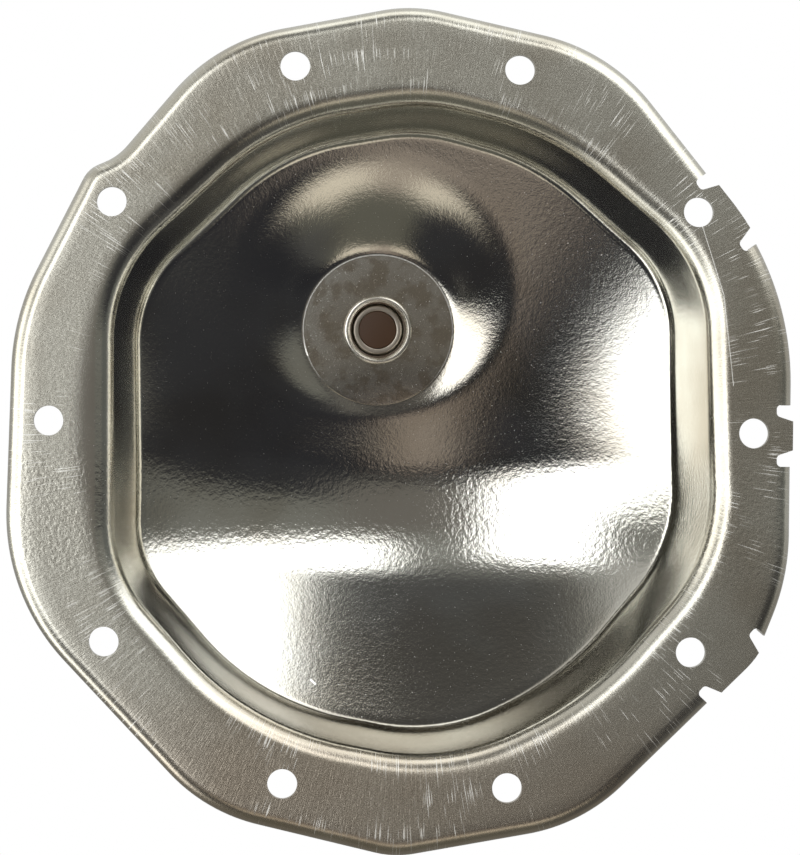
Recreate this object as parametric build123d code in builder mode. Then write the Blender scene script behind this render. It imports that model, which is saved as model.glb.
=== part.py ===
# Differential cover: a pressed steel pan with a rolled rim, a ten bolt flange
# and a fill boss that holds a threaded bung and its plug.
#
# Frame, in millimetres: the gasket face lies in the plane Y = 0 and looks
# towards -Y, the pan bulges towards +Y, +Z is up and the origin is the
# centre of the bolt pattern.

from build123d import *
from math import cos, radians, tan
import os

# Sheet and flange
sheet = 2.6
rim_bend_radius = 5.2
rim_depth = 7.6
mouth_bend_radius = 7.2

# Rim outline: corner (x, z) and the radius that rounds it
rim_corners = [
    ((1.3, 136.0), 49.0),
    ((-61.3, 123.3), 61.0),
    ((-92.7, 85.3), 19.5),
    ((-102.0, 81.4), 9.8),
    ((-125.4, 33.5), 76.0),
    ((-126.9, -56.6), 69.0),
    ((-60.5, -125.0), 57.0),
    ((0.5, -138.5), 30.0),
    ((60.7, -126.8), 58.0),
    ((116.1, -71.0), 30.0),
    ((125.7, -45.6), 71.0),
    ((125.1, 48.9), 94.0),
    ((65.0, 122.4), 62.0),
]

# Mouth of the pan in the gasket plane: corner (x, z) and its radius
mouth_corners = [
    ((6.2, 105.6), 66.0),
    ((-42.3, 97.3), 78.0),
    ((-93.8, 48.0), 49.0),
    ((-92.2, -48.6), 44.0),
    ((-46.9, -98.0), 93.0),
    ((17.6, -109.0), 73.0),
    ((62.0, -86.6), 110.0),
    ((101.9, -39.8), 58.0),
    ((97.3, 54.6), 48.0),
    ((48.4, 95.2), 91.0),
]
wall_draft = 8.4

# Floor of the pan: two sloping facets that meet in a rounded ridge, bowed
# sideways about an upright axis
ridge_height = -31.0
apex_depth = 69.0
upper_slope = 14.8
lower_slope = 25.0
ridge_radius = 55.0
crown_middle = 4.0
crown_radius = 190.0
floor_corner_radius = 4.0

# Fill boss: a flat round pad at the bottom of a coned pocket
boss_x = -6.0
boss_z = 34.0
pad_radius = 25.7
pad_rise = 13.7
boss_tilt = 4.0
pocket_slope = 32.0
pocket_height = 22.0

# Bolt holes: half spacings of the three rows
bolt_hole_radius = 4.8
outer_row_x = 36.0
outer_row_z = 115.0
shoulder_row_x = 94.0
shoulder_row_z = 70.5
middle_row_x = 113.0

# Tabs left flat at three of the bolts: bolt, direction of the edge in
# degrees, distance from the bolt to the edge, and the two ends of that edge
tabs = [
    ((shoulder_row_x, shoulder_row_z), 36.3, 10.8, -13.5, 3.2),
    ((middle_row_x, 0.0), 1.0, 13.4, -5.1, 3.5),
    ((shoulder_row_x, -shoulder_row_z), -40.2, 16.4, -3.0, 14.3),
]
notch_depth = 6.2
notch_width = 5.6
tab_flare = 2.1
notch_root_radius = 1.4
tab_corner_radius = 1.2

# Bung, clinched in the pad
bung_body_radius = 10.6
bung_clearance = 0.05
bung_lip_radius = 11.6
bung_lip_height = 1.9
bung_lip_chamfer = 0.8
bung_collar_radius = 16.0
bung_collar_height = 9.0
bung_chamfer = 0.8

# Plug: thread, flanged hexagon head, nose with a magnet, and a seal
thread_radius = 9.5
thread_clearance = 0.1
plug_recess = 5.5
nose_radius = 8.4
nose_length = 3.0
nose_chamfer = 0.5
head_radius = 14.0
head_flange = 2.5
hex_across = 22.0
hex_height = 7.0
seal_radius = 13.2
seal_thickness = 1.5
magnet_radius = 6.5
magnet_height = 3.5
magnet_clearance = 0.05

# How far off a flat or an edge may lie and still be found by its place
touch = 0.01

bolt_spots = (
    [(x, z) for x in (-outer_row_x, outer_row_x) for z in (-outer_row_z, outer_row_z)]
    + [(x, z) for x in (-shoulder_row_x, shoulder_row_x) for z in (-shoulder_row_z, shoulder_row_z)]
    + [(-middle_row_x, 0), (middle_row_x, 0)]
)

# The pad stands in from the deepest point of the floor
pad_depth = apex_depth - pad_rise

# Heights along the boss axis, from the pad's inner face towards the gasket
collar_end = -sheet - bung_collar_height
head_seat = collar_end - seal_thickness
flange_end = head_seat - head_flange
nose_end = nose_length - plug_recess

# Section plane through the boss axis: x across, y along the axis, inwards
boss_across = Plane(origin=(boss_x, pad_depth, boss_z), x_dir=(1, 0, 0), z_dir=(0, -1, 0))
boss_face = boss_across.rotated((boss_tilt, 0, 0))
boss_section = Plane(origin=boss_face.origin, x_dir=boss_face.x_dir, z_dir=-boss_face.y_dir)
boss_axis = Axis(boss_face.origin, boss_face.z_dir)


def draw_outline(corners, grow=0.0):
    """Draw a closed outline of straight runs and arcs as a face."""
    with BuildSketch(Plane.XY) as face:
        with BuildLine():
            FilletPolyline(
                [point for point, radius in corners],
                radius=[radius for point, radius in corners],
                close=True,
            )
        make_face()
        if grow:
            offset(amount=grow)
    return face.sketch


def rim_block(skin):
    """Block under the flange, its front edge rounded, set in by skin."""
    with BuildPart() as block:
        with BuildSketch(Plane.XZ.offset(-rim_depth)):
            add(draw_outline(rim_corners, -skin))
        extrude(amount=rim_depth - skin)
        fillet(block.edges().group_by(Axis.Y)[0], radius=rim_bend_radius - skin)
    return block.part


def floor_block(skin):
    """Body of revolution whose surface is the pan's floor, grown by skin."""
    axis_depth = apex_depth - crown_radius
    near = axis_depth + crown_radius / 2
    up = rim_corners[0][0][1] + rim_depth
    with BuildPart() as block:
        with BuildSketch(Plane.YZ.offset(crown_middle)):
            with BuildLine():
                ridge = FilletPolyline(
                    (apex_depth - (up - ridge_height) * tan(radians(upper_slope)), up),
                    (apex_depth, ridge_height),
                    (apex_depth - (up + ridge_height) * tan(radians(lower_slope)), -up),
                    radius=ridge_radius,
                )
                Polyline(ridge @ 0, (near, up), (near, -up), ridge @ 1)
            make_face()
            if skin:
                offset(amount=skin)
        revolve(axis=Axis((crown_middle, axis_depth, 0), (0, 0, 1)))
    return block.part


def pan_form(skin):
    """Solid that fills the pan, out to skin behind the gasket side of the sheet."""
    wall_grow = skin / cos(radians(wall_draft))
    loft_depth = apex_depth + mouth_bend_radius
    wall_shrink = loft_depth * tan(radians(wall_draft))
    pad_edge = pad_radius + skin * tan(radians(pocket_slope / 2))
    pocket_edge = pad_edge + (pocket_height + skin) / tan(radians(pocket_slope))
    with BuildPart() as form:
        with BuildSketch(Plane.XZ):
            add(draw_outline(mouth_corners, wall_grow))
        with BuildSketch(Plane.XZ.offset(-loft_depth)):
            add(draw_outline(mouth_corners, wall_grow - wall_shrink))
        loft(ruled=True)
        add(floor_block(skin), mode=Mode.INTERSECT)
        floor_edges = form.edges().filter_by(
            lambda edge: len([face for face in edge_faces(form, edge) if is_floor(face)]) == 1
        )
        fillet(floor_edges, radius=floor_corner_radius + skin)
        with BuildSketch(boss_section):
            Polygon(
                (0, -skin), (pad_edge, -skin), (pocket_edge, pocket_height), (0, pocket_height),
                align=None,
            )
        revolve(axis=boss_axis)
    return form.part


def is_floor(face):
    """True for the faces of revolution that make the pan's floor."""
    return face.geom_type in (GeomType.CONE, GeomType.TORUS)


def edge_faces(form, edge):
    """Faces of form that the edge belongs to."""
    return [face for face in form.faces() if edge in face.edges()]


def mouth_edges(cover, depth):
    """Edges round the pan in the flat face of the flange at this depth."""
    flats = cover.faces().filter_by(GeomType.PLANE).filter_by_position(Axis.Y, depth - touch, depth + touch)
    flange = flats.sort_by(SortBy.AREA)[-1]
    return flange.inner_wires().edges()


def cut_tab(cover, bolt, direction, edge_distance, low, high):
    """Trim the rolled rim at one bolt and leave a flat tab between two notches."""
    tab_face = Plane(
        origin=(bolt[0], 0, bolt[1]),
        x_dir=Vector(1, 0, 0).rotate(Axis.Y, -direction),
        z_dir=(0, -1, 0),
    )
    root = edge_distance - notch_depth
    past = edge_distance + notch_depth
    with BuildSketch(tab_face) as zone:
        Polygon(
            (root, low - notch_width), (past, low - notch_width),
            (past, high + notch_width), (root, high + notch_width),
            align=None,
        )
    extrude(zone.sketch, amount=rim_depth + sheet, both=True, mode=Mode.SUBTRACT)
    with BuildSketch(tab_face) as tab:
        Polygon(
            (root, low - notch_width), (edge_distance, low - notch_width),
            (edge_distance, high + notch_width), (root, high + notch_width),
            align=None,
        )
        add(draw_notch(root, past, low, -1), mode=Mode.SUBTRACT)
        add(draw_notch(root, past, high, 1), mode=Mode.SUBTRACT)
        outer_edge = tab.vertices().filter_by_position(Axis.X, edge_distance - touch, past)
        fillet(outer_edge, tab_corner_radius)
    extrude(tab.sketch, amount=-sheet)


def draw_notch(root, past, end, side):
    """Draw the relief notch beside one end of a tab, its root rounded."""
    with BuildSketch(Plane.XY) as notch:
        Polygon(
            (root, end + side * tab_flare), (past, end - side * tab_flare),
            (past, end + side * notch_width), (root, end + side * notch_width),
            align=None,
        )
        fillet(notch.vertices().sort_by(Axis.X)[:2], notch_root_radius)
    return notch.sketch


# Cover shell: one pressing
with BuildPart() as cover_shell:
    add(rim_block(0.0))
    add(rim_block(sheet), mode=Mode.SUBTRACT)
    add(pan_form(sheet))
    fillet(mouth_edges(cover_shell, sheet), radius=mouth_bend_radius - sheet)
    add(pan_form(0.0), mode=Mode.SUBTRACT)
    fillet(mouth_edges(cover_shell, 0.0), radius=mouth_bend_radius)
    for tab in tabs:
        cut_tab(cover_shell, *tab)
    with BuildSketch(Plane.XZ):
        with Locations(bolt_spots):
            Circle(bolt_hole_radius)
    extrude(amount=-sheet, mode=Mode.SUBTRACT)
    with BuildSketch(boss_face):
        Circle(bung_body_radius)
    extrude(amount=sheet * 2, both=True, mode=Mode.SUBTRACT)
cover_shell.part.label = "cover_shell"

# Fill bung: a turned ring, its inner lip rolled over the pad
bore = thread_radius + thread_clearance
with BuildPart() as fill_bung:
    with BuildSketch(boss_section):
        Polygon(
            (bore, bung_lip_height), (bung_lip_radius, bung_lip_height), (bung_lip_radius, 0),
            (bung_body_radius - bung_clearance, 0), (bung_body_radius - bung_clearance, -sheet),
            (bung_collar_radius, -sheet), (bung_collar_radius, collar_end), (bore, collar_end),
            align=None,
        )
    revolve(axis=boss_axis)
    rings = fill_bung.edges().filter_by(GeomType.CIRCLE).sort_by(boss_axis)
    chamfer(rings[-2:], length=bung_lip_chamfer)
    chamfer(rings.filter_by(lambda ring: ring.radius > bung_lip_radius), length=bung_chamfer)
fill_bung.part.label = "fill_bung"

# Fill plug: thread, flanged hexagon head, and a nose that holds the magnet
with BuildPart() as fill_plug:
    with BuildSketch(boss_section):
        Polygon(
            (0, nose_end), (nose_radius, nose_end), (nose_radius, -plug_recess),
            (thread_radius, -plug_recess), (thread_radius, head_seat), (head_radius, head_seat),
            (head_radius, flange_end), (0, flange_end),
            align=None,
        )
    revolve(axis=boss_axis)
    chamfer(fill_plug.edges().sort_by(boss_axis)[-1], length=nose_chamfer)
    with BuildSketch(boss_face.offset(flange_end)):
        RegularPolygon(hex_across / 2, side_count=6, major_radius=False)
    extrude(amount=-hex_height)
    with BuildSketch(boss_face.offset(nose_end)):
        Circle(magnet_radius)
    extrude(amount=-magnet_height, mode=Mode.SUBTRACT)
    hex_end = fill_plug.faces().sort_by(boss_axis)[0]
    chamfer(hex_end.edges(), length=bung_chamfer)
fill_plug.part.label = "fill_plug"

# Seal ring between the plug's head and the bung
with BuildPart() as plug_seal:
    with BuildSketch(boss_face.offset(head_seat)):
        Circle(seal_radius)
        Circle(bore, mode=Mode.SUBTRACT)
    extrude(amount=seal_thickness)
plug_seal.part.label = "plug_seal"

# Magnet in the plug's nose
with BuildPart() as plug_magnet:
    with BuildSketch(boss_face.offset(nose_end)):
        Circle(magnet_radius - magnet_clearance)
    extrude(amount=-magnet_height)
plug_magnet.part.label = "plug_magnet"

os.makedirs("parts", exist_ok=True)
for piece in (cover_shell, fill_bung, fill_plug, plug_seal, plug_magnet):
    export_step(piece.part, f"parts/{piece.part.label}.step")
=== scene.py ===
# Looks of the differential cover: the pressing as a smooth dense mesh, the
# turned pieces of the fill boss, their materials, the studio and the camera.
# Named lengths are in millimetres unless they say metres; meshes are in metres.
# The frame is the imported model's: gasket face in the plane Y = 0, looking
# towards -Y, and +Z up.

from math import cos, hypot, pi, radians, sin, tan

import bmesh
import bpy
import numpy as np
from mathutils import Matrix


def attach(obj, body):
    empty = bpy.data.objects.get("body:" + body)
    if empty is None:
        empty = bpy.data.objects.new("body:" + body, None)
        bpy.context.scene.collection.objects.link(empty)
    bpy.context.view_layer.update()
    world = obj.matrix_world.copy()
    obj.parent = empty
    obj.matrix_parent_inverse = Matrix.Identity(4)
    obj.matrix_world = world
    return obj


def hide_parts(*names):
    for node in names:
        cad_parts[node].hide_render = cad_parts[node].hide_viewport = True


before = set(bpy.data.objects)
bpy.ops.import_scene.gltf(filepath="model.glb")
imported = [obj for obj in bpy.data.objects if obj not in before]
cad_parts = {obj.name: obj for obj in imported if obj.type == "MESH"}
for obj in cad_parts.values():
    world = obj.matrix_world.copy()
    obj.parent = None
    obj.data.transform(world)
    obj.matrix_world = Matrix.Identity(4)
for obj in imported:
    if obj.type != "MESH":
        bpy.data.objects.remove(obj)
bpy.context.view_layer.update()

bpy.context.scene.view_settings.view_transform = "Standard"
MM = 0.001

# Sheet and flange
SHEET = 2.6
RIM_BEND = 5.2
RIM_DEPTH = 7.6
MOUTH_BEND = 7.2
RIM_CORNERS = [
    ((1.3, 136.0), 49.0),
    ((-61.3, 123.3), 61.0),
    ((-92.7, 85.3), 19.5),
    ((-102.0, 81.4), 9.8),
    ((-125.4, 33.5), 76.0),
    ((-126.9, -56.6), 69.0),
    ((-60.5, -125.0), 57.0),
    ((0.5, -138.5), 30.0),
    ((60.7, -126.8), 58.0),
    ((116.1, -71.0), 30.0),
    ((125.7, -45.6), 71.0),
    ((125.1, 48.9), 94.0),
    ((65.0, 122.4), 62.0),
]
MOUTH_CORNERS = [
    ((6.2, 105.6), 66.0),
    ((-42.3, 97.3), 78.0),
    ((-93.8, 48.0), 49.0),
    ((-92.2, -48.6), 44.0),
    ((-46.9, -98.0), 93.0),
    ((17.6, -109.0), 73.0),
    ((62.0, -86.6), 110.0),
    ((101.9, -39.8), 58.0),
    ((97.3, 54.6), 48.0),
    ((48.4, 95.2), 91.0),
]
WALL_DRAFT = radians(8.4)
BEND_RUN = MOUTH_BEND * tan((pi / 2 - WALL_DRAFT) / 2)

# Floor of the pan: two slopes that meet on a rounded ridge, bowed sideways
RIDGE_Z = -31.0
APEX = 69.0
UPPER_SLOPE = radians(14.8)
LOWER_SLOPE = radians(25.0)
RIDGE_RADIUS = 65.0
CROWN_X = 4.0
CROWN_RADIUS = 190.0
UPPER_FLATTEN = 70.0
LOWER_FLATTEN = 250.0
FLOOR_CORNER = 4.0

# Fill boss: flat tilted pad in a pocket of the floor
BOSS = (-6.0, 34.0)
PAD_RADIUS = 25.7
PAD_DEPTH = 55.3
BOSS_TILT = radians(4.0)
POCKET_SLOPE = radians(32.0)
BUNG_HOLE = 10.6
POCKET_EASE = 3.5
POCKET_BLEND = 5.0
PAD_BLEND = 2.6

# Bolt holes, and tabs: bolt, direction, reach of the edge, and width from and to
HOLE_RADIUS = 4.8
OUTER_ROW = (36.0, 115.0)
SHOULDER_ROW = (94.0, 70.5)
MIDDLE_ROW = 113.0
TABS = [
    (SHOULDER_ROW, 36.3, 10.8, -13.5, 3.2),
    ((MIDDLE_ROW, 0.0), 1.0, 13.4, -5.1, 3.5),
    ((SHOULDER_ROW[0], -SHOULDER_ROW[1]), -40.2, 16.4, -3.0, 14.3),
]
NOTCH_DEPTH = 6.2
NOTCH_WIDTH = 5.6
TAB_FLARE = 2.1
NOTCH_ROOT = 1.4

# Bung, plug, seal and magnet: radii, and lengths along the boss axis
THREAD = 9.5
THREAD_GAP = 0.1
THREAD_PITCH = 1.5
THREAD_DEPTH = 0.55
THREAD_START = 0.6
BUNG_LIP = 11.6
BUNG_LIP_HEIGHT = 1.9
BUNG_CHAMFER = 0.8
BUNG_GAP = 0.05
BUNG_COLLAR = 16.0
BUNG_COLLAR_HEIGHT = 9.0
PLUG_RECESS = 5.5
NOSE = 8.4
NOSE_LENGTH = 3.0
HEAD = 14.0
HEAD_FLANGE = 2.5
HEX_ACROSS = 22.0
HEX_HEIGHT = 7.0
SEAL = 13.2
SEAL_THICKNESS = 1.5
SEAL_GAP = 0.1
SEAT_GAP = 0.02
MAGNET = 6.45
MAGNET_GAP = 0.05
MAGNET_POCKET = 3.5
MAGNET_SET = 0.2

# Mesh density: spokes round the pressing, rings across each of its zones, steps of the arcs
SPOKES = 480
PAD_RINGS = (BUNG_HOLE, BUNG_HOLE + 2.5, BUNG_HOLE + 5, 19, 22, 24, PAD_RADIUS - 0.6, PAD_RADIUS - 0.15,
             PAD_RADIUS, PAD_RADIUS + 0.15, PAD_RADIUS + 0.6)
FLOOR_RINGS, CORNER_RINGS, BEND_RINGS, RIM_RINGS = 44, 8, 10, 9
WALL_SHARES = (0.34, 0.67)
FLANGE_SHARES = (0.2, 0.4, 0.6, 0.8, 1.0)
LIP_SHARES = (0.5, 1.0)
TAB_END = 0.2
FIRST_DEPTH, FOOT_ROUNDS = 40.0, 30
ARC_STEPS, RUN_STEPS, NOTCH_STEPS = 48, 11, 10
HOLE_STEPS = 64
LATHE_STEPS, PROFILE_STEPS = 96, 5
SHARP_EDGE = 35
CUTTER_LOW, CUTTER_HIGH = -5, 15


def unit(rows):
    """Vectors scaled to length 1, one or many."""
    return rows / np.linalg.norm(rows, axis=-1, keepdims=True)


def round_corner(before, corner, after, radius, steps):
    """Points of the arc that rounds a corner, their ways out of its centre, and its turning sense."""
    here = np.array(corner, float)
    back, ahead = unit(np.array(before) - here), unit(np.array(after) - here)
    half = np.arccos(back @ ahead) / 2
    centre = here + unit(back + ahead) * radius / sin(half)
    start = here + back * radius / tan(half) - centre
    finish = here + ahead * radius / tan(half) - centre
    turn = np.arctan2(start[0] * finish[1] - start[1] * finish[0], start @ finish)
    angles = np.linspace(0, turn, steps)
    spins = np.stack([start[0] * np.cos(angles) - start[1] * np.sin(angles),
                      start[0] * np.sin(angles) + start[1] * np.cos(angles)], axis=1)
    return centre + spins, spins / radius, np.sign(turn)


def rounded_outline(corners):
    """Points and outward normals along a closed outline of runs and arcs."""
    points, normals = [], []
    for i, (place, radius) in enumerate(corners):
        before, after = corners[i - 1][0], corners[(i + 1) % len(corners)][0]
        arc, ways, sense = round_corner(before, place, after, radius, ARC_STEPS)
        points.append(arc)
        normals.append(ways * sense)
    return np.vstack(points), np.vstack(normals)


def by_angle(corners, angles, middle):
    """Points and normals of an outline at given angles round a middle point."""
    points, normals = rounded_outline(corners)
    shares = np.linspace(0, 1, RUN_STEPS + 1)[:-1, None]
    fine_points, fine_normals = [], []
    for i in range(len(points)):
        j = (i + 1) % len(points)
        fine_points.append(points[i] * (1 - shares) + points[j] * shares)
        fine_normals.append(unit(normals[i] * (1 - shares) + normals[j] * shares))
    points, normals = np.vstack(fine_points), np.vstack(fine_normals)
    around = np.unwrap(np.arctan2(points[:, 1] - middle[1], points[:, 0] - middle[0]))
    wanted = around[0] + np.mod(angles - around[0], 2 * pi)
    around = np.append(around, around[0] + 2 * pi)
    points = np.vstack([points, points[:1]])
    normals = np.vstack([normals, normals[:1]])
    places = np.stack([np.interp(wanted, around, points[:, k]) for k in (0, 1)], axis=1)
    ways = np.stack([np.interp(wanted, around, normals[:, k]) for k in (0, 1)], axis=1)
    return places, unit(ways)


def ridge_line(z):
    """Depth of the floor's middle line: two slopes with a rounded ridge."""
    height = z - RIDGE_Z
    half_turn = (UPPER_SLOPE + LOWER_SLOPE) / 2
    lean = (UPPER_SLOPE - LOWER_SLOPE) / 2
    reach = RIDGE_RADIUS * tan(half_turn)
    away = RIDGE_RADIUS / cos(half_turn)
    along = height + away * sin(lean)
    arc = APEX - away * cos(lean) + np.sqrt(np.maximum(RIDGE_RADIUS ** 2 - along ** 2, 1.0))
    flat = APEX - np.where(height > 0, height * tan(UPPER_SLOPE), -height * tan(LOWER_SLOPE))
    on_arc = (height < reach * cos(UPPER_SLOPE)) & (height > -reach * cos(LOWER_SLOPE))
    return np.where(on_arc, arc, flat)


def dome_depth(x, z):
    """Depth of the pan's floor: bowed sideways, less so away from the ridge."""
    height = z - RIDGE_Z
    flatten = np.where(height > 0, UPPER_FLATTEN, LOWER_FLATTEN)
    radius = CROWN_RADIUS * (1 + (height / flatten) ** 2)
    return ridge_line(z) - (radius - np.sqrt(radius ** 2 - (x - CROWN_X) ** 2))


def soft_max(a, b, width):
    """The larger of a and b, rounded over where they cross."""
    h = np.maximum(width - np.abs(a - b), 0) / width
    return np.maximum(a, b) + h * h * width / 4


def floor_depth(x, z):
    """Depth of the pressed floor with the pocket of the fill boss."""
    dome = dome_depth(x, z)
    dx, dz = x - BOSS[0], (z - BOSS[1]) / cos(BOSS_TILT)
    r = np.hypot(dx, dz)
    plane = PAD_DEPTH - (z - BOSS[1]) * tan(BOSS_TILT)
    run = np.maximum(r - PAD_RADIUS, 0)
    wall = run ** 2 / (run + POCKET_EASE) * tan(POCKET_SLOPE)
    pocket = plane - wall
    return np.where(r > PAD_RADIUS, soft_max(dome, pocket, POCKET_BLEND),
                    soft_max(dome, plane, PAD_BLEND))


def tab_places(points):
    """True where a rim point belongs to one of the tabs that stay flat."""
    flat = np.zeros(len(points), bool)
    for (bx, bz), direction, edge, low, high in TABS:
        a = radians(direction)
        u = (points[:, 0] - bx) * cos(a) + (points[:, 1] - bz) * sin(a)
        v = -(points[:, 0] - bx) * sin(a) + (points[:, 1] - bz) * cos(a)
        past_notch = NOTCH_WIDTH * 0.6
        inside = (v > low - past_notch) & (v < high + past_notch)
        flat |= inside & (np.abs(u - edge) < NOTCH_DEPTH)
    return flat


def wall_foot(mouth, mouth_out):
    """Where the drafted wall would meet the floor: its set in from the mouth line, and its depth."""
    depth = np.full(SPOKES, FIRST_DEPTH)
    for _ in range(FOOT_ROUNDS):
        foot = mouth - mouth_out * (depth * tan(WALL_DRAFT))[:, None]
        depth = (depth + floor_depth(foot[:, 0], foot[:, 1])) / 2
    return depth * tan(WALL_DRAFT), depth


def floor_corner(mouth, mouth_out):
    """Centre, start on the floor and end on the wall of the arc between floor and wall.

    Each is a pair for every spoke: set out from the mouth line, and depth.
    """
    foot_set, depth = wall_foot(mouth, mouth_out)
    step_in = mouth - mouth_out * (foot_set + 1.0)[:, None]
    slope = floor_depth(step_in[:, 0], step_in[:, 1]) - depth
    wall_way = np.tile([sin(WALL_DRAFT), -cos(WALL_DRAFT)], (SPOKES, 1))
    floor_way = unit(np.stack([-np.ones(SPOKES), slope], axis=1))
    half = np.arccos(np.sum(wall_way * floor_way, axis=1)) / 2
    run = (FLOOR_CORNER / np.tan(half))[:, None]
    corner = np.stack([-foot_set, depth], axis=1)
    centre = corner + unit(wall_way + floor_way) * (FLOOR_CORNER / np.sin(half))[:, None]
    return centre, corner + floor_way * run, corner + wall_way * run


def floor_rings(rays, floor_edge):
    """Rings on the floor: circles on the pad and its edge, which turn into the floor's outline."""
    flat_rings = [np.array(BOSS) + rays * radius for radius in PAD_RINGS]
    inner = flat_rings[-1]
    for share in np.linspace(0, 1, FLOOR_RINGS + 2)[1:-1]:
        flat_rings.append(inner + (floor_edge - inner) * share)
    return [(flat, floor_depth(flat[:, 0], flat[:, 1])) for flat in flat_rings]


def wall_rings(mouth, mouth_out, centre, start, end):
    """Rings of the floor's corner, the drafted wall and the mouth bend, up to the flange."""
    sections = []
    a, b = start - centre, end - centre
    full_turn = np.arctan2(a[:, 0] * b[:, 1] - a[:, 1] * b[:, 0], np.sum(a * b, axis=1))
    for share in np.linspace(0, 1, CORNER_RINGS):
        turn = full_turn * share
        sections.append(centre + np.stack([a[:, 0] * np.cos(turn) - a[:, 1] * np.sin(turn),
                                           a[:, 0] * np.sin(turn) + a[:, 1] * np.cos(turn)], axis=1))
    bend_low = np.array([-BEND_RUN * sin(WALL_DRAFT), BEND_RUN * cos(WALL_DRAFT)])
    sections += [end * (1 - share) + bend_low * share for share in WALL_SHARES]
    for share in np.linspace(0, 1, BEND_RINGS):
        angle = (pi / 2 - WALL_DRAFT) * (1 - share)
        place = [BEND_RUN - MOUTH_BEND * sin(angle), MOUTH_BEND - MOUTH_BEND * cos(angle)]
        sections.append(np.tile(place, (SPOKES, 1)))
    return [(mouth + mouth_out * place[:, :1], place[:, 1]) for place in sections]


def flange_rings(mouth, mouth_out, rim, rim_out):
    """Rings of the flat flange and of the rolled rim, which stays flat on the tabs."""
    level_depth = np.zeros(SPOKES)
    inner = mouth + mouth_out * BEND_RUN
    outer = rim - rim_out * RIM_BEND
    rings = [(inner + (outer - inner) * share, level_depth) for share in FLANGE_SHARES]
    flat = tab_places(rim)

    def add(bent, level, drop):
        rings.append((np.where(flat[:, None], level, bent), np.where(flat, level_depth, drop)))

    for share in np.linspace(0, 1, RIM_RINGS + 1)[1:]:
        angle = share * pi / 2
        add(rim - rim_out * (RIM_BEND * (1 - sin(angle))),
            rim - rim_out * (RIM_BEND * (1 - share * (1 - TAB_END))),
            RIM_BEND * (1 - cos(angle)))
    for share in LIP_SHARES:
        add(rim, rim - rim_out * (RIM_BEND * TAB_END * (1 - share)),
            RIM_BEND + (RIM_DEPTH - RIM_BEND) * share)
    return rings


def shell_rings():
    """Rings of points on the gasket side of the sheet, from the boss hole out to the lip."""
    angles = np.linspace(0, 2 * pi, SPOKES, endpoint=False)
    mouth, mouth_out = by_angle(MOUTH_CORNERS, angles, BOSS)
    rim, rim_out = by_angle(RIM_CORNERS, angles, BOSS)
    rays = np.stack([np.cos(angles), np.sin(angles)], axis=1)
    centre, start, end = floor_corner(mouth, mouth_out)
    rings = floor_rings(rays, mouth + mouth_out * start[:, :1])
    rings += wall_rings(mouth, mouth_out, centre, start, end)
    rings += flange_rings(mouth, mouth_out, rim, rim_out)
    return np.array([np.stack([flat[:, 0], depth, flat[:, 1]], axis=1) for flat, depth in rings])


def ring_normals(rings):
    """Normals of the ringed surface, pointing to its back, which is +Y."""
    around = np.roll(rings, -1, axis=1) - np.roll(rings, 1, axis=1)
    outward = np.empty_like(rings)
    outward[1:-1] = rings[2:] - rings[:-2]
    outward[0] = rings[1] - rings[0]
    outward[-1] = rings[-1] - rings[-2]
    normals = unit(np.cross(around, outward))
    on_floor = normals[len(PAD_RINGS), 0]
    return normals if on_floor[1] > 0 else -normals


def new_object(name, verts, faces, smooth=True):
    mesh = bpy.data.meshes.new(name)
    mesh.from_pydata([tuple(v) for v in verts], [], faces)
    mesh.validate()
    mesh.polygons.foreach_set("use_smooth", [smooth] * len(mesh.polygons))
    obj = bpy.data.objects.new(name, mesh)
    bpy.context.scene.collection.objects.link(obj)
    return obj


def make_pressing():
    """Closed mesh of the sheet: front rings, back rings and the two rims between them."""
    front = shell_rings()
    back = front + ring_normals(front) * SHEET
    count = len(front)
    verts = np.vstack([front.reshape(-1, 3), back.reshape(-1, 3)]) * MM
    faces = []
    half = count * SPOKES
    for i in range(count - 1):
        for j in range(SPOKES):
            k = (j + 1) % SPOKES
            a, b, c, d = i * SPOKES + j, i * SPOKES + k, (i + 1) * SPOKES + k, (i + 1) * SPOKES + j
            faces.append((a, b, c, d))
            faces.append((half + d, half + c, half + b, half + a))
    last = (count - 1) * SPOKES
    for j in range(SPOKES):
        k = (j + 1) % SPOKES
        faces.append((j, half + j, half + k, k))
        faces.append((last + k, half + last + k, half + last + j, last + j))
    return new_object("pressing", verts, faces)


def face_outwards(obj):
    """Turn the faces of a closed mesh outwards."""
    bm = bmesh.new()
    bm.from_mesh(obj.data)
    bmesh.ops.recalc_face_normals(bm, faces=bm.faces)
    bm.to_mesh(obj.data)
    bm.free()


def prism(name, outline, low, high):
    """Closed prism along Y from an outline of (x, z) points in millimetres."""
    count = len(outline)
    verts = [(x * MM, y * MM, z * MM) for y in (low, high) for x, z in outline]
    faces = [tuple(range(count - 1, -1, -1)), tuple(range(count, 2 * count))]
    faces += [(j, (j + 1) % count, count + (j + 1) % count, count + j) for j in range(count)]
    obj = new_object(name, verts, faces, smooth=False)
    face_outwards(obj)
    return obj


def circle_points(middle, radius):
    angles = [2 * pi * k / HOLE_STEPS for k in range(HOLE_STEPS)]
    return [(middle[0] + radius * cos(angle), middle[1] + radius * sin(angle)) for angle in angles]


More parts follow.
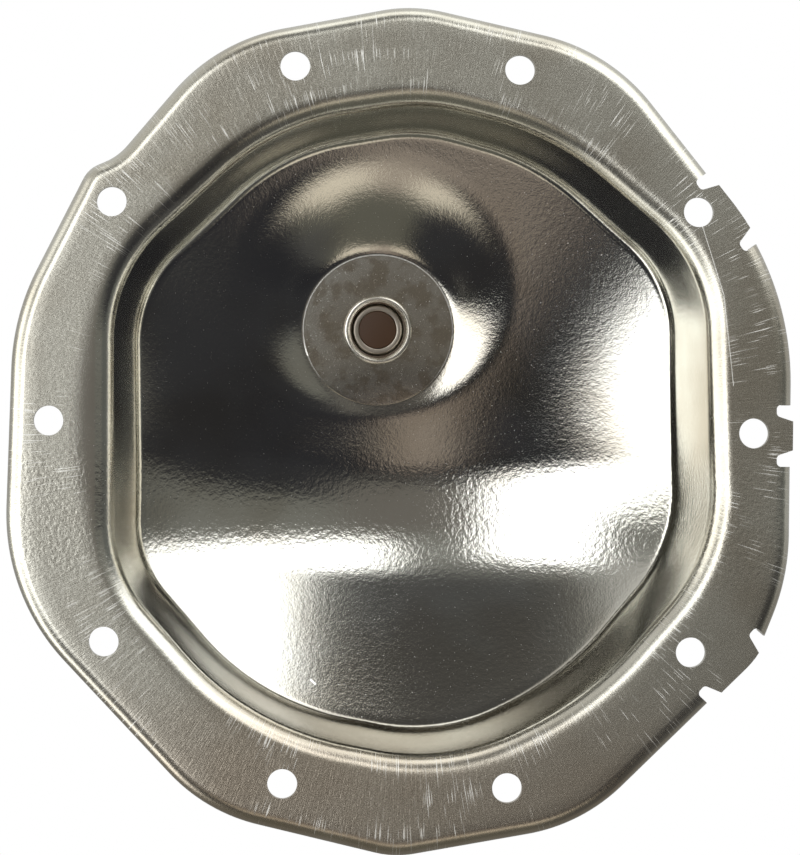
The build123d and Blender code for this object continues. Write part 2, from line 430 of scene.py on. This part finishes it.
def notch_points(tab, side):
    """Outline of one relief notch beside a tab, with a rounded root."""
    (bx, bz), direction, edge, low, high = tab
    end = high if side > 0 else low
    root, past = edge - NOTCH_DEPTH, edge + NOTCH_DEPTH
    corners = [(past, end - side * TAB_FLARE), (root, end + side * TAB_FLARE),
               (root, end + side * NOTCH_WIDTH), (past, end + side * NOTCH_WIDTH)]
    local = [corners[0]]
    for i in (1, 2):
        local += list(round_corner(corners[i - 1], corners[i], corners[i + 1], NOTCH_ROOT, NOTCH_STEPS)[0])
    local.append(corners[3])
    a = radians(direction)
    return [(bx + u * cos(a) - v * sin(a), bz + u * sin(a) + v * cos(a)) for u, v in local]


def bolt_places():
    places = [(x, z) for x in (-OUTER_ROW[0], OUTER_ROW[0]) for z in (-OUTER_ROW[1], OUTER_ROW[1])]
    places += [(x, z) for x in (-SHOULDER_ROW[0], SHOULDER_ROW[0])
               for z in (-SHOULDER_ROW[1], SHOULDER_ROW[1])]
    return places + [(-MIDDLE_ROW, 0.0), (MIDDLE_ROW, 0.0)]


def cut(obj, cutters):
    """Subtract every cutter from obj and delete the cutters."""
    tools = bpy.data.collections.new("cutters")
    bpy.context.scene.collection.children.link(tools)
    for cutter in cutters:
        bpy.context.scene.collection.objects.unlink(cutter)
        tools.objects.link(cutter)
    modifier = obj.modifiers.new("cut", "BOOLEAN")
    modifier.operation = "DIFFERENCE"
    modifier.operand_type = "COLLECTION"
    modifier.collection = tools
    modifier.solver = "EXACT"
    depsgraph = bpy.context.evaluated_depsgraph_get()
    mesh = bpy.data.meshes.new_from_object(obj.evaluated_get(depsgraph))
    obj.modifiers.clear()
    obj.data = mesh
    for cutter in cutters:
        bpy.data.objects.remove(cutter)
    bpy.data.collections.remove(tools)


def sharpen(obj, degrees):
    """Smooth shading, with edges over this angle kept sharp."""
    mesh = obj.data
    mesh.polygons.foreach_set("use_smooth", [True] * len(mesh.polygons))
    mesh.set_sharp_from_angle(angle=radians(degrees))


pressing = make_pressing()
outlines = [circle_points(place, HOLE_RADIUS) for place in bolt_places()]
outlines += [notch_points(tab, side) for tab in TABS for side in (-1, 1)]
cut(pressing, [prism("cutter", outline, CUTTER_LOW, CUTTER_HIGH) for outline in outlines])
sharpen(pressing, SHARP_EDGE)
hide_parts("cover_shell")
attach(pressing, "root")


def boss_point(r, along, angle):
    """Point at radius r and at a height along the boss axis, plus towards the gasket."""
    x = r * cos(angle)
    up = r * sin(angle)
    y = PAD_DEPTH - up * sin(BOSS_TILT) - along * cos(BOSS_TILT)
    z = BOSS[1] + up * cos(BOSS_TILT) - along * sin(BOSS_TILT)
    return (BOSS[0] + x) * MM, y * MM, z * MM


def lathe(name, profile, reach=None):
    """Closed turned piece on the boss axis from (radius, along) points in order round its section.

    reach, if given, returns what to add to the radius at (radius, along, angle).
    """
    verts, faces, starts = [], [], []
    for r, along in profile:
        starts.append(len(verts))
        if r == 0:
            verts.append(boss_point(0, along, 0))
            continue
        for angle in [2 * pi * k / LATHE_STEPS for k in range(LATHE_STEPS)]:
            verts.append(boss_point(r + (reach(r, along, angle) if reach else 0.0), along, angle))
    pairs = list(zip(range(len(profile)), range(1, len(profile))))
    if profile[0][0] > 0:
        pairs.append((len(profile) - 1, 0))
    for a, b in pairs:
        for k in range(LATHE_STEPS):
            m = (k + 1) % LATHE_STEPS
            if profile[a][0] == 0:
                faces.append((starts[a], starts[b] + m, starts[b] + k))
            elif profile[b][0] == 0:
                faces.append((starts[a] + k, starts[a] + m, starts[b]))
            else:
                faces.append((starts[a] + k, starts[a] + m, starts[b] + m, starts[b] + k))
    obj = new_object(name, verts, faces)
    face_outwards(obj)
    sharpen(obj, SHARP_EDGE)
    return obj


def round_profile(corners):
    """Profile from (radius, along, rounding) corners, with every rounding drawn as an arc."""
    points = []
    for i, (r, along, radius) in enumerate(corners):
        if radius == 0:
            points.append((r, along))
            continue
        before, after = corners[i - 1][:2], corners[(i + 1) % len(corners)][:2]
        points += [tuple(p) for p in round_corner(before, (r, along), after, radius, PROFILE_STEPS)[0]]
    return points


# Heights along the boss axis, from the pad's face: plus towards the gasket, minus outwards
collar_end = -SHEET - BUNG_COLLAR_HEIGHT
head_seat = collar_end - SEAL_THICKNESS
flange_end = head_seat - HEAD_FLANGE
head_end = flange_end - HEX_HEIGHT
nose_end = NOSE_LENGTH - PLUG_RECESS
magnet_seat = nose_end - MAGNET_POCKET
bore = THREAD + THREAD_GAP
hole_fit = BUNG_HOLE - BUNG_GAP


def thread_rings():
    """Turns of the bung's thread that show above the plug."""
    rings = []
    along = THREAD_START - PLUG_RECESS
    while along + THREAD_PITCH < BUNG_LIP_HEIGHT - BUNG_CHAMFER - 0.1:
        rings += [(bore, along, 0), (bore - THREAD_DEPTH, along + THREAD_PITCH / 2, 0)]
        along += THREAD_PITCH
    return rings + [(bore, along, 0)]


def hexagon(r, along, angle):
    """Extra reach that turns the plug's round end into its hexagon."""
    if along > flange_end or r > HEX_ACROSS / 2 + 0.01:
        return 0.0
    side = (angle + pi / 6) % (pi / 3) - pi / 6
    return r * (1 / cos(pi / 6 - abs(side)) - 1)


bung = lathe("bung", round_profile([
    (bore, collar_end, 0),
    *thread_rings(),
    (bore, BUNG_LIP_HEIGHT - BUNG_CHAMFER, 0),
    (bore + 0.7, BUNG_LIP_HEIGHT, 0.25),
    (BUNG_LIP, BUNG_LIP_HEIGHT, 0.7),
    (BUNG_LIP, SEAT_GAP, 0),
    (hole_fit, SEAT_GAP, 0),
    (hole_fit, -SHEET - SEAT_GAP, 0),
    (BUNG_COLLAR, -SHEET - SEAT_GAP, 0),
    (BUNG_COLLAR, collar_end, 0.8),
]))
plug = lathe("plug", round_profile([
    (0, magnet_seat, 0),
    (MAGNET + MAGNET_GAP, magnet_seat, 0),
    (MAGNET + MAGNET_GAP, nose_end, 0.3),
    (NOSE, nose_end, 0.5),
    (NOSE, -PLUG_RECESS, 0.4),
    (THREAD, -PLUG_RECESS, 0.8),
    (THREAD, head_seat, 0),
    (HEAD, head_seat, 0.4),
    (HEAD, flange_end, 0.6),
    (HEX_ACROSS / 2, flange_end, 0),
    (HEX_ACROSS / 2, head_end, 0.8),
    (0, head_end, 0),
]), hexagon)
seal = lathe("seal", round_profile([
    (THREAD + SEAL_GAP, collar_end - SEAT_GAP, 0),
    (SEAL, collar_end - SEAT_GAP, 0.5),
    (SEAL, head_seat + SEAT_GAP, 0.5),
    (THREAD + SEAL_GAP, head_seat + SEAT_GAP, 0),
]))
magnet = lathe("magnet", round_profile([
    (0, nose_end - MAGNET_SET, 0),
    (MAGNET, nose_end - MAGNET_SET, 0.4),
    (MAGNET, magnet_seat + SEAT_GAP, 0),
    (0, magnet_seat + SEAT_GAP, 0),
]))
for piece, node, slot in ((bung, "fill_bung", "bung_steel"), (plug, "fill_plug", "plug_steel"),
                          (seal, "plug_seal", "seal_rubber"), (magnet, "plug_magnet", "magnet")):
    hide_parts(node)
    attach(piece, "root")


class Graph:
    """Short way to add shader nodes and wire them."""

    def __init__(self, tree):
        self.tree = tree

    def put(self, socket, value):
        if isinstance(value, bpy.types.NodeSocket):
            self.tree.links.new(value, socket)
        else:
            socket.default_value = value

    def math(self, operation, a, b=0.0):
        node = self.tree.nodes.new("ShaderNodeMath")
        node.operation = operation
        for socket, value in zip(node.inputs, (a, b)):
            self.put(socket, value)
        return node.outputs[0]

    def times(self, first, *others):
        for other in others:
            first = self.math("MULTIPLY", first, other)
        return first

    def plus(self, first, *others):
        for other in others:
            first = self.math("ADD", first, other)
        return first

    def distance(self, a, b):
        """Length of the hypotenuse over two sides."""
        return self.math("SQRT", self.plus(self.times(a, a), self.times(b, b)))

    def between(self, value, start, end):
        """0 below start, 1 above end, smooth between them; falls where end is below start."""
        node = self.tree.nodes.new("ShaderNodeMapRange")
        node.interpolation_type = "SMOOTHSTEP"
        falls = end < start
        self.put(node.inputs["Value"], value)
        node.inputs["From Min"].default_value = min(start, end)
        node.inputs["From Max"].default_value = max(start, end)
        node.inputs["To Min"].default_value = 1.0 if falls else 0.0
        node.inputs["To Max"].default_value = 0.0 if falls else 1.0
        return node.outputs["Result"]

    def within(self, value, low, high, soft):
        """1 from low to high, 0 outside, with edges this soft."""
        return self.times(self.between(value, low - soft, low + soft),
                          self.between(value, high + soft, high - soft))

    def noise(self, vector, scale, detail, rough):
        node = self.tree.nodes.new("ShaderNodeTexNoise")
        self.put(node.inputs["Vector"], vector)
        node.inputs["Scale"].default_value = scale
        node.inputs["Detail"].default_value = detail
        node.inputs["Roughness"].default_value = rough
        return node.outputs["Fac"]

    def vector(self, x, y, z):
        node = self.tree.nodes.new("ShaderNodeCombineXYZ")
        for socket, value in zip(node.inputs, (x, y, z)):
            self.put(socket, value)
        return node.outputs[0]

    def mix(self, fac, a, b):
        """Colour a where fac is 0 and b where it is 1."""
        node = self.tree.nodes.new("ShaderNodeMix")
        node.data_type = "RGBA"
        self.put(node.inputs["Factor"], fac)
        for socket, value in ((node.inputs[6], a), (node.inputs[7], b)):
            self.put(socket, value if isinstance(value, bpy.types.NodeSocket) else (*value, 1))
        return node.outputs[2]

    def blend(self, fac, a, b):
        """Plain value a where fac is 0 and b where it is 1."""
        node = self.tree.nodes.new("ShaderNodeMix")
        self.put(node.inputs["Factor"], fac)
        self.put(node.inputs[2], a)
        self.put(node.inputs[3], b)
        return node.outputs[0]

    def bump(self, height, distance, normal=None):
        node = self.tree.nodes.new("ShaderNodeBump")
        self.put(node.inputs["Height"], height)
        node.inputs["Distance"].default_value = distance
        if normal is not None:
            self.put(node.inputs["Normal"], normal)
        return node.outputs[0]

    def split(self, texture_output):
        """X, Y and Z of one of the texture coordinate node's outputs."""
        coords = self.tree.nodes.new("ShaderNodeTexCoord")
        node = self.tree.nodes.new("ShaderNodeSeparateXYZ")
        self.put(node.inputs[0], coords.outputs[texture_output])
        return node.outputs


def new_material(name):
    mat = bpy.data.materials.new(name)
    mat.use_nodes = True
    return mat, mat.node_tree.nodes["Principled BSDF"]


def dress(obj, mat):
    obj.data.materials.clear()
    obj.data.materials.append(mat)


def plain(name, colour, metallic, roughness):
    mat, shader = new_material(name)
    shader.inputs["Base Color"].default_value = (*colour, 1)
    shader.inputs["Metallic"].default_value = metallic
    shader.inputs["Roughness"].default_value = roughness
    return mat


# Steel of the pressing: colours, roughness, and how much each kind of mark adds to it. BRIGHT on the pad's
# crease line and on its specks is painted highlight.
STEEL = (0.625, 0.62, 0.575)
FLANGE_STEEL = (0.60, 0.59, 0.525)
TARNISH = (0.36, 0.315, 0.245)
LOW_BROWN = (0.56, 0.46, 0.36)
BRIGHT = (0.97, 0.97, 0.95)
DOME_ROUGHNESS, FLANGE_ROUGHNESS = 0.10, 0.27
GRAIN_ROUGHNESS, MARK_ROUGHNESS, PAD_ROUGHNESS = 0.14, 0.28, 0.10
TARNISH_SHARE, LOW_BROWN_SHARE, MOTTLE_SHARE = 0.55, 0.45, 0.7
SCRATCH_SHARE, GLINT_SHARE, PAD_HIGHLIGHT_SHARE = 0.75, 0.5, 0.6

# Heights of the bumps, in metres
GRAIN_HEIGHT, PEEL_HEIGHT, DRAW_HEIGHT = 0.00003, 0.00004, 0.00004

# Noise: scale per millimetre, detail and roughness
NOISES = {
    "draw_grain": (2.2, 3.0, 0.7),
    "grain": (1.8, 3.0, 0.65),
    "orange_peel": (0.7, 2.0, 0.5),
    "draw_lines": (3.2, 0.0, 0.5),
    "draw_patches": (0.04, 1.0, 0.5),
    "mottle": (0.16, 4.0, 0.6),
    "pad_glint_specks": (1.6, 3.0, 0.5),
    "glints": (2.6, 1.0, 0.5),
    "tarnish": (0.015, 3.0, 0.6),
}

# Where a noise becomes a mark: none below the first level, full above the second
LEVELS = {
    "draw_lines": (0.68, 0.75),
    "draw_patches": (0.42, 0.60),
    "mottle": (0.46, 0.60),
    "pad_glint_specks": (0.70, 0.76),
    "glints": (0.74, 0.80),
    "tarnish": (0.40, 0.68),
}

# Zones, in millimetres: each sets in from the first value to the second
FLANGE_RADIUS, FLANGE_DEPTH = (98.0, 108.0), (5.0, 2.0)
LOW_BROWN_HEIGHT = (-70.0, -120.0)
RIDGE_TOP, RIDGE_BOTTOM = (-5.0, -16.0), (-54.0, -42.0)
# The crease values place a painted highlight: a thin ring at the pad's edge, fading out towards the bottom
# of the boss.
PAD_FADE, CREASE_HIGHLIGHT_FADE = (40.0, 44.0), (-21.0, -13.0)
CREASE_HIGHLIGHT_INNER, CREASE_HIGHLIGHT_OUTER = (-0.5, -0.2), (0.15, -0.1)

# Draw marks: radius at which their width is true, and their stretch along the radius
DRAW_RADIUS = 115.0
DRAW_STRETCH = 0.03

# Single scratches and nicks: from and to in X and Z, and half width, in millimetres
MARKS = [
    ((94.6, 67.8), (102.5, 44.0), 0.16),
    ((102.5, 44.0), (106.1, 15.0), 0.16),
    ((-27.3, -84.6), (-25.0, -86.6), 0.45),
    ((82.6, -17.4), (83.4, -18.6), 0.35),
]


def marks_of(graph, where, name):
    """Noise of this name, turned into marks from 0 to 1."""
    return graph.between(graph.noise(where, *NOISES[name]), *LEVELS[name])


def stroke(graph, x, z, start, end, width):
    """1 on a straight mark between two places, 0 elsewhere."""
    run_x, run_z = end[0] - start[0], end[1] - start[1]
    length = hypot(run_x, run_z)
    run_x, run_z = run_x / length, run_z / length
    dx, dz = graph.math("SUBTRACT", x, start[0]), graph.math("SUBTRACT", z, start[1])
    along = graph.plus(graph.times(dx, run_x), graph.times(dz, run_z))
    aside = graph.math("SUBTRACT", graph.times(dx, run_z), graph.times(dz, run_x))
    ends = graph.times(graph.between(along, 0.0, width), graph.between(along, length, length - width))
    return graph.times(ends, graph.between(graph.math("ABSOLUTE", aside), width, width * 0.4))


def draw_marks(graph, x, z, radius, here, flange):
    """Scratches on the steel, and the fine grain along the radius that drawing leaves."""
    around = graph.times(graph.math("ARCTAN2", z, x), DRAW_RADIUS)
    strokes = graph.vector(around, graph.times(radius, DRAW_STRETCH), 0.0)
    fine = graph.noise(strokes, *NOISES["draw_grain"])
    scratches = graph.times(marks_of(graph, strokes, "draw_lines"),
                            marks_of(graph, here, "draw_patches"), flange)
    for start, end, width in MARKS:
        scratches = graph.math("MAXIMUM", scratches, stroke(graph, x, z, start, end, width))
    return scratches, fine


def pad_and_crease_highlight(graph, x, y, z):
    """The pad itself, on the inner side, and a painted highlight on the crease line round it, which fades
    at its foot.
    """
    off_x = graph.math("SUBTRACT", x, BOSS[0])
    off_z = graph.math("SUBTRACT", z, BOSS[1])
    out = graph.distance(off_x, off_z)
    depth = graph.plus(y, graph.times(off_z, tan(BOSS_TILT)))
    inner_side = graph.between(depth, PAD_DEPTH + SHEET * 0.7, PAD_DEPTH + SHEET * 0.4)
    crease_highlight = graph.times(graph.between(out, *(PAD_RADIUS + step for step in CREASE_HIGHLIGHT_INNER)),
                         graph.between(out, *(PAD_RADIUS + step for step in CREASE_HIGHLIGHT_OUTER)),
                         graph.between(off_z, *CREASE_HIGHLIGHT_FADE), inner_side)
    pad = graph.times(graph.between(out, PAD_RADIUS, PAD_RADIUS - 1.0), inner_side,
                      graph.between(y, *PAD_FADE))
    return pad, crease_highlight


def zinc_steel():
    """Satin steel of the pressing: polished dome with fine orange peel, brushed flange."""
    mat, shader = new_material("zinc_steel")
    graph = Graph(mat.node_tree)
    x, y, z = [graph.times(axis, 1 / MM) for axis in graph.split("Object")]
    here = graph.vector(x, y, z)
    radius = graph.distance(x, z)
    flange = graph.times(graph.between(radius, *FLANGE_RADIUS), graph.between(y, *FLANGE_DEPTH))
    scratches, fine = draw_marks(graph, x, z, radius, here, flange)
    pad, crease_highlight = pad_and_crease_highlight(graph, x, y, z)
    # Painted glints: bright specks on the pad.
    pad_glints = graph.times(pad, marks_of(graph, here, "pad_glint_specks"))
    glints = marks_of(graph, here, "glints")
    grain = graph.noise(here, *NOISES["grain"])
    peel = graph.noise(here, *NOISES["orange_peel"])

    tint = graph.mix(flange, STEEL, FLANGE_STEEL)
    for mask, share, colour in (
            (marks_of(graph, here, "tarnish"), TARNISH_SHARE, TARNISH),
            # Flange browner towards the bottom.
            (graph.times(graph.between(z, *LOW_BROWN_HEIGHT), flange), LOW_BROWN_SHARE, LOW_BROWN),
            (scratches, SCRATCH_SHARE, BRIGHT),
            (glints, GLINT_SHARE, BRIGHT),
            (graph.times(pad, marks_of(graph, here, "mottle")), MOTTLE_SHARE, TARNISH),
            # Painted highlights: the crease line round the pad and the glint specks on it, in BRIGHT.
            (graph.math("MAXIMUM", crease_highlight, pad_glints), PAD_HIGHLIGHT_SHARE, BRIGHT)):
        tint = graph.mix(graph.times(mask, share), tint, colour)
    graph.put(shader.inputs["Base Color"], tint)
    shader.inputs["Metallic"].default_value = 1.0

    rough = graph.plus(graph.blend(flange, DOME_ROUGHNESS, FLANGE_ROUGHNESS),
                       graph.times(graph.math("SUBTRACT", grain, 0.5), GRAIN_ROUGHNESS),
                       graph.times(graph.plus(glints, scratches, crease_highlight, pad_glints), MARK_ROUGHNESS),
                       graph.times(pad, PAD_ROUGHNESS))
    graph.put(shader.inputs["Roughness"], rough)

    ridge = graph.times(graph.between(z, *RIDGE_TOP), graph.between(z, *RIDGE_BOTTOM))
    bumped = graph.bump(graph.times(grain, graph.blend(flange, 1.0, 0.45)), GRAIN_HEIGHT)
    bumped = graph.bump(graph.times(peel, graph.blend(ridge, 0.8, 2.2)), PEEL_HEIGHT, bumped)
    bumped = graph.bump(graph.times(fine, flange), DRAW_HEIGHT, bumped)
    graph.put(shader.inputs["Normal"], bumped)
    return mat


dress(pressing, zinc_steel())
dress(bung, plain("bung_steel", (0.80, 0.77, 0.70), 1.0, 0.24))
dress(plug, plain("plug_steel", (0.55, 0.50, 0.43), 1.0, 0.28))
dress(seal, plain("seal_rubber", (0.02, 0.02, 0.02), 0.0, 0.6))
dress(magnet, plain("magnet_brown", (0.060, 0.024, 0.006), 0.0, 0.50))

# Camera, in metres: a little left of and below the middle, looking straight at the gasket
# face and turned a little, as the photo was taken
PHOTO_WIDTH, PHOTO_HEIGHT = 800, 855
VIEW_WIDTH = 0.256
VIEW_HEIGHT = VIEW_WIDTH * PHOTO_HEIGHT / PHOTO_WIDTH
VIEW_X, VIEW_Z = -0.0004, -0.0002
CAMERA_X, CAMERA_Z = -0.038, -0.0145
CAMERA_DISTANCE = 0.8
CAMERA_ROLL = radians(1.05)
SENSOR = 36


def add_camera():
    """Camera whose picture is shifted, not turned, onto the middle of the view."""
    data = bpy.data.cameras.new("camera")
    camera = bpy.data.objects.new("camera", data)
    bpy.context.scene.collection.objects.link(camera)
    camera.location = (CAMERA_X, -CAMERA_DISTANCE, CAMERA_Z)
    camera.rotation_mode = "XYZ"
    camera.rotation_euler = (radians(90), -CAMERA_ROLL, 0)
    data.sensor_fit = "VERTICAL"
    data.sensor_width = data.sensor_height = SENSOR
    data.lens = SENSOR * CAMERA_DISTANCE / VIEW_HEIGHT
    off_x, off_z = VIEW_X - CAMERA_X, VIEW_Z - CAMERA_Z
    data.shift_x = (off_x * cos(CAMERA_ROLL) + off_z * sin(CAMERA_ROLL)) / VIEW_HEIGHT
    data.shift_y = (off_z * cos(CAMERA_ROLL) - off_x * sin(CAMERA_ROLL)) / VIEW_HEIGHT
    bpy.context.scene.camera = camera


# Studio light by direction, in degrees: azimuth to the right of -Y, and elevation.
# Each panel: azimuth from and to, elevation from and to, soft edge, strength, colour;
# a later one covers the earlier ones.
WHITE = (1.0, 1.0, 1.0)
ROOM_LOW, ROOM_HIGH, ROOM_SPAN = (0.15, 0.145, 0.12), (0.28, 0.28, 0.26), (-40.0, 40.0)
BACK_LOW, BACK_HIGH, BACK_SPAN = (0.20, 0.19, 0.17), (0.80, 0.80, 0.79), (-50.0, 55.0)
BEHIND = (0.0, 0.12)
LIGHT_MAP = 1024
PANELS = {
    "left_wall": (-120, -58, -52, 34, 8, 2.7, (1.0, 0.99, 0.95)),
    "left_wall_top": (-115, -40, 26, 60, 10, 0.7, (1.0, 0.98, 0.93)),
    "right_wall": (82, 125, -60, 66, 8, 0.62, (1.0, 0.99, 0.94)),
    "right_wall_near": (50, 82, -60, 40, 6, 0.17, (0.97, 1.0, 0.94)),
    "right_wall_top": (46, 90, 24, 62, 8, 1.9, (1.0, 1.0, 0.98)),
    "top_light": (-180, 180, 64, 100, 6, 1.9, (1.0, 1.0, 0.97)),
    "dark_right": (40, 115, -66, -24, 8, 0.10, (1.0, 0.98, 0.95)),
    "dark_low": (-50, 62, -37, -12, 5, 0.03, (1.0, 1.0, 1.15)),
    "dark_low_right": (14, 66, -20, -2, 3, 0.04, (1.0, 1.0, 1.1)),
    "dark_low_left": (-62, -20, -58, -30, 4, 0.04, (1.0, 1.0, 1.1)),
    "floor_card": (-18, 28, -48, -34, 4, 0.95, (1.0, 0.90, 0.74)),
    "beige_card": (-5, 6, -50, -20, 3, 0.40, (1.0, 0.84, 0.71)),
    "left_glow": (-62, -33, -15, 4, 3, 2.7, (1.0, 1.0, 0.97)),
    "dark_ceiling": (-36, 20, 40, 62, 6, 0.09, WHITE),
    "dim_front": (-12, 14, -11, 18, 5, 0.20, (1.0, 0.93, 0.84)),
    "left_softbox": (-34, -13, -15, 31, 2.5, 3.2, WHITE),
    "right_softbox": (6, 36, 22, 39, 3, 3.0, (1.0, 1.0, 0.99)),
    "right_softbox_top": (28, 56, 23, 60, 5, 3.0, (1.0, 1.0, 0.99)),
}


def studio():
    """World of soft-edged panels, white where it is seen directly."""
    world = bpy.data.worlds.new("studio")
    bpy.context.scene.world = world
    world.use_nodes = True
    tree = world.node_tree
    tree.nodes.clear()
    graph = Graph(tree)
    way_x, way_y, way_z = graph.split("Generated")
    azimuth = graph.math("DEGREES", graph.math("ARCTAN2", way_x, graph.times(way_y, -1.0)))
    elevation = graph.math("DEGREES", graph.math("ARCSINE", way_z))
    light = graph.mix(graph.between(elevation, *ROOM_SPAN), ROOM_LOW, ROOM_HIGH)
    for az_from, az_to, el_from, el_to, soft, strength, colour in PANELS.values():
        inside = graph.times(graph.within(azimuth, az_from, az_to, soft),
                             graph.within(elevation, el_from, el_to, soft))
        light = graph.mix(inside, light, tuple(strength * part for part in colour))
    back = graph.mix(graph.between(elevation, *BACK_SPAN), BACK_LOW, BACK_HIGH)
    light = graph.mix(graph.between(way_y, *BEHIND), light, back)
    path = tree.nodes.new("ShaderNodeLightPath")
    light = graph.mix(path.outputs["Is Camera Ray"], light, WHITE)
    background = tree.nodes.new("ShaderNodeBackground")
    output = tree.nodes.new("ShaderNodeOutputWorld")
    graph.put(background.inputs["Color"], light)
    graph.put(output.inputs["Surface"], background.outputs[0])
    world.cycles.sampling_method = "MANUAL"
    world.cycles.sample_map_resolution = LIGHT_MAP


add_camera()
studio()
